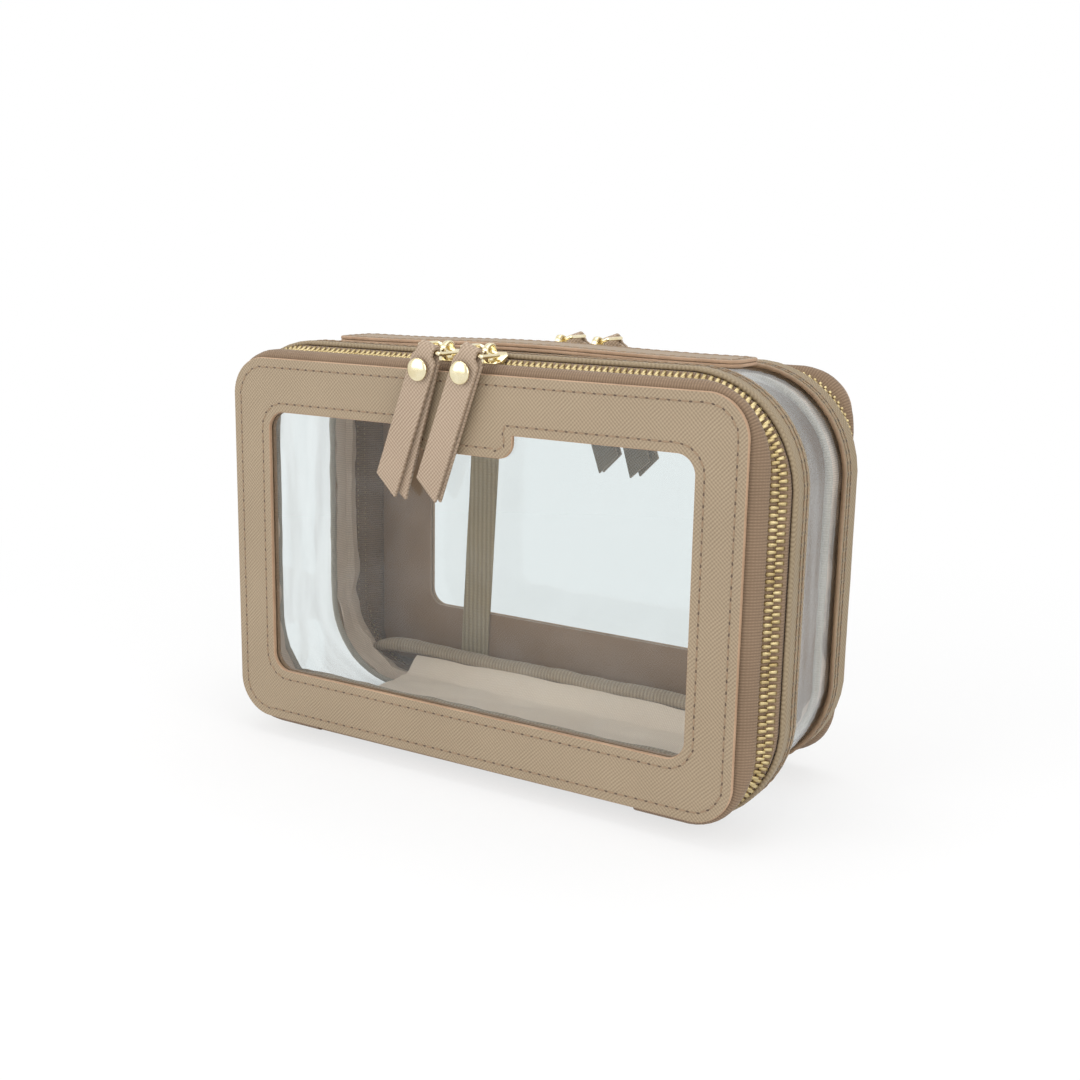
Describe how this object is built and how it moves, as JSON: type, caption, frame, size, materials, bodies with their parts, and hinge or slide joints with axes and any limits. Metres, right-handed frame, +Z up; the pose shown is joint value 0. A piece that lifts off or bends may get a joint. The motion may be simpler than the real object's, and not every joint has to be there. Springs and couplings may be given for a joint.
{
  "type": "makeup train case",
  "caption": "Clear makeup train case with taupe saffiano leather framing, clear windows and gusset, gold zips with folded leather pulls, and a flat carrying handle.",
  "frame": {"origin": "under the middle of the case, on the surface it stands on", "axes": "X runs along the width, the front door faces -Y and +Z is up; left and right in the zip nodes' names are as seen by someone facing that door"},
  "size_m": [0.24, 0.1072, 0.1631],
  "materials": {
    "saffiano": "cross-hatch embossed taupe leather with tan painted edges",
    "gusset_leather": "soft grained taupe leather with rolled edges",
    "handle_leather": "taupe leather in two layers with painted edges",
    "pull_leather": "cross-hatch embossed pinkish tan leather",
    "backing_leather": "dark grey-brown inner facing",
    "clear_pvc": "clear soft plastic sheet",
    "zip_tape": "woven ribbed tape",
    "zip_metal": "pale gold plated metal",
    "lining_fabric": "warm grey woven lining",
    "piping_fabric": "pale fabric piping",
    "binding_tape": "ribbed beige-grey binding",
    "floor_fabric": "pale beige-grey woven lining",
    "elastic": "ribbed khaki elastic"
  },
  "bodies": {
    "case": {"front_teeth_case": "zip_metal", "front_tape_case": "zip_tape", "front_gusset": "gusset_leather", "front_lining": "lining_fabric", "front_lining_piping": "piping_fabric", "front_hinge": "gusset_leather", "front_binding": "binding_tape", "rear_teeth_case": "zip_metal", "rear_tape_case": "zip_tape", "rear_gusset": "gusset_leather", "rear_lining": "lining_fabric", "rear_lining_piping": "piping_fabric", "rear_hinge": "gusset_leather", "rear_binding": "binding_tape", "clear_gusset": "clear_pvc", "base_panel": "gusset_leather", "floor_lining": "floor_fabric", "handle_lower": "handle_leather", "handle_upper": "handle_leather"},
    "front_panel": {"front_frame": "saffiano", "front_window": "clear_pvc", "front_backing": "backing_leather", "front_tape_panel": "zip_tape", "front_teeth_panel": "zip_metal"},
    "rear_panel": {"rear_frame": "saffiano", "rear_window": "clear_pvc", "rear_backing": "backing_leather", "rear_tape_panel": "zip_tape", "rear_teeth_panel": "zip_metal", "elastic_strap": "elastic"},
    "front_left_slider_body": {"front_left_slider": "zip_metal"},
    "front_left_ring_body": {"front_left_ring": "zip_metal"},
    "front_left_pull_body": {"front_left_pull": "pull_leather", "front_left_rivet": "zip_metal"},
    "front_right_slider_body": {"front_right_slider": "zip_metal"},
    "front_right_ring_body": {"front_right_ring": "zip_metal"},
    "front_right_pull_body": {"front_right_pull": "pull_leather", "front_right_rivet": "zip_metal"},
    "rear_left_slider_body": {"rear_left_slider": "zip_metal"},
    "rear_left_ring_body": {"rear_left_ring": "zip_metal"},
    "rear_left_pull_body": {"rear_left_pull": "pull_leather", "rear_left_rivet": "zip_metal"},
    "rear_right_slider_body": {"rear_right_slider": "zip_metal"},
    "rear_right_ring_body": {"rear_right_ring": "zip_metal"},
    "rear_right_pull_body": {"rear_right_pull": "pull_leather", "rear_right_rivet": "zip_metal"}
  },
  "joints": [
    {"name": "front_door_hinge", "type": "hinge", "parent": "case", "child": "front_panel", "pos_m": [0, -0.042, 0.0042], "axis": [1, 0, 0], "range_deg": [0, 76]},
    {"name": "rear_door_hinge", "type": "hinge", "parent": "case", "child": "rear_panel", "pos_m": [0, 0.042, 0.0042], "axis": [-1, 0, 0], "range_deg": [0, 76]},
    {"name": "front_left_zip_slide", "type": "slide", "parent": "front_panel", "child": "front_left_slider_body", "axis": [-1, 0, 0], "range_m": [0, 0.06]},
    {"name": "front_left_ring_hinge", "type": "hinge", "parent": "front_left_slider_body", "child": "front_left_ring_body", "pos_m": [-0.012, -0.03928, 0.15959], "axis": [-0.9397, 0, 0.342], "range_deg": [0, 90]},
    {"name": "front_left_pull_hinge", "type": "hinge", "parent": "front_left_ring_body", "child": "front_left_pull_body", "pos_m": [-0.012, -0.0503, 0.15959], "axis": [-0.9397, 0, 0.342], "range_deg": [0, 110]},
    {"name": "front_right_zip_slide", "type": "slide", "parent": "front_panel", "child": "front_right_slider_body", "axis": [1, 0, 0], "range_m": [0, 0.066]},
    {"name": "front_right_ring_hinge", "type": "hinge", "parent": "front_right_slider_body", "child": "front_right_ring_body", "pos_m": [0.006, -0.03928, 0.15959], "axis": [-0.9397, 0, 0.342], "range_deg": [0, 90]},
    {"name": "front_right_pull_hinge", "type": "hinge", "parent": "front_right_ring_body", "child": "front_right_pull_body", "pos_m": [0.006, -0.0503, 0.15959], "axis": [-0.9397, 0, 0.342], "range_deg": [0, 110]},
    {"name": "rear_left_zip_slide", "type": "slide", "parent": "rear_panel", "child": "rear_left_slider_body", "axis": [1, 0, 0], "range_m": [0, 0.0665]},
    {"name": "rear_left_ring_hinge", "type": "hinge", "parent": "rear_left_slider_body", "child": "rear_left_ring_body", "pos_m": [0.0055, 0.03857, 0.15852], "axis": [0.9397, 0, 0.342], "range_deg": [0, 90]},
    {"name": "rear_left_pull_hinge", "type": "hinge", "parent": "rear_left_ring_body", "child": "rear_left_pull_body", "pos_m": [0.0055, 0.0503, 0.15852], "axis": [0.9397, 0, 0.342], "range_deg": [0, 110]},
    {"name": "rear_right_zip_slide", "type": "slide", "parent": "rear_panel", "child": "rear_right_slider_body", "axis": [-1, 0, 0], "range_m": [0, 0.0605]},
    {"name": "rear_right_ring_hinge", "type": "hinge", "parent": "rear_right_slider_body", "child": "rear_right_ring_body", "pos_m": [-0.0115, 0.03857, 0.15852], "axis": [0.9397, 0, 0.342], "range_deg": [0, 90]},
    {"name": "rear_right_pull_hinge", "type": "hinge", "parent": "rear_right_ring_body", "child": "rear_right_pull_body", "pos_m": [-0.0115, 0.0503, 0.15852], "axis": [0.9397, 0, 0.342], "range_deg": [0, 110]}
  ]
}
